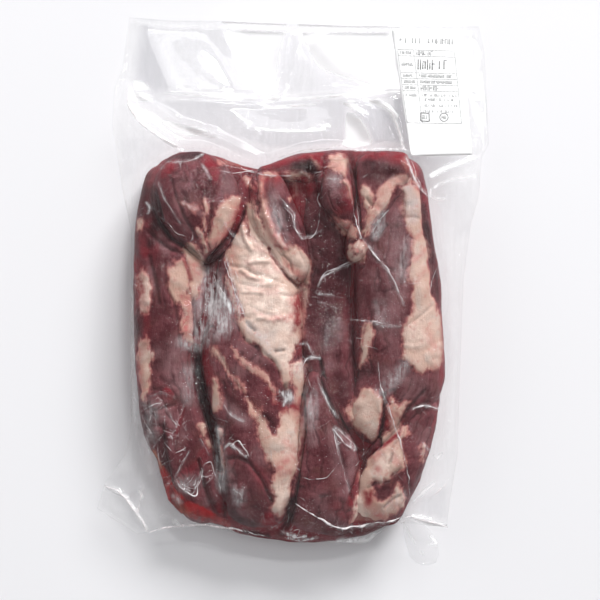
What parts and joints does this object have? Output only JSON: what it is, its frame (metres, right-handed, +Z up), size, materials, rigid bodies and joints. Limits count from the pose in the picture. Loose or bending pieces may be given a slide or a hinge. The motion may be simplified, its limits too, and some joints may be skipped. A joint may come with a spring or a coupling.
{
  "type": "vacuum-packed beef hanging tender",
  "caption": "Clear vacuum bag of raw beef strips with cream fat, lying flat, with a wide sealed film margin at one end and a paper label on it.",
  "frame": {"origin": "middle of the pack's box, on the surface that the pack lies on", "axes": "+Y along the pack towards its sealed mouth, +Z up, +X to the right seen from above"},
  "size_m": [0.26, 0.3657, 0.04],
  "materials": {
    "film_over_beef": "glossy clear film over dark red meat",
    "label_paper": "matt white label"
  },
  "bodies": {
    "root": {"vacuum_bag": "film_over_beef", "paper_label": "label_paper"}
  },
  "joints": []
}
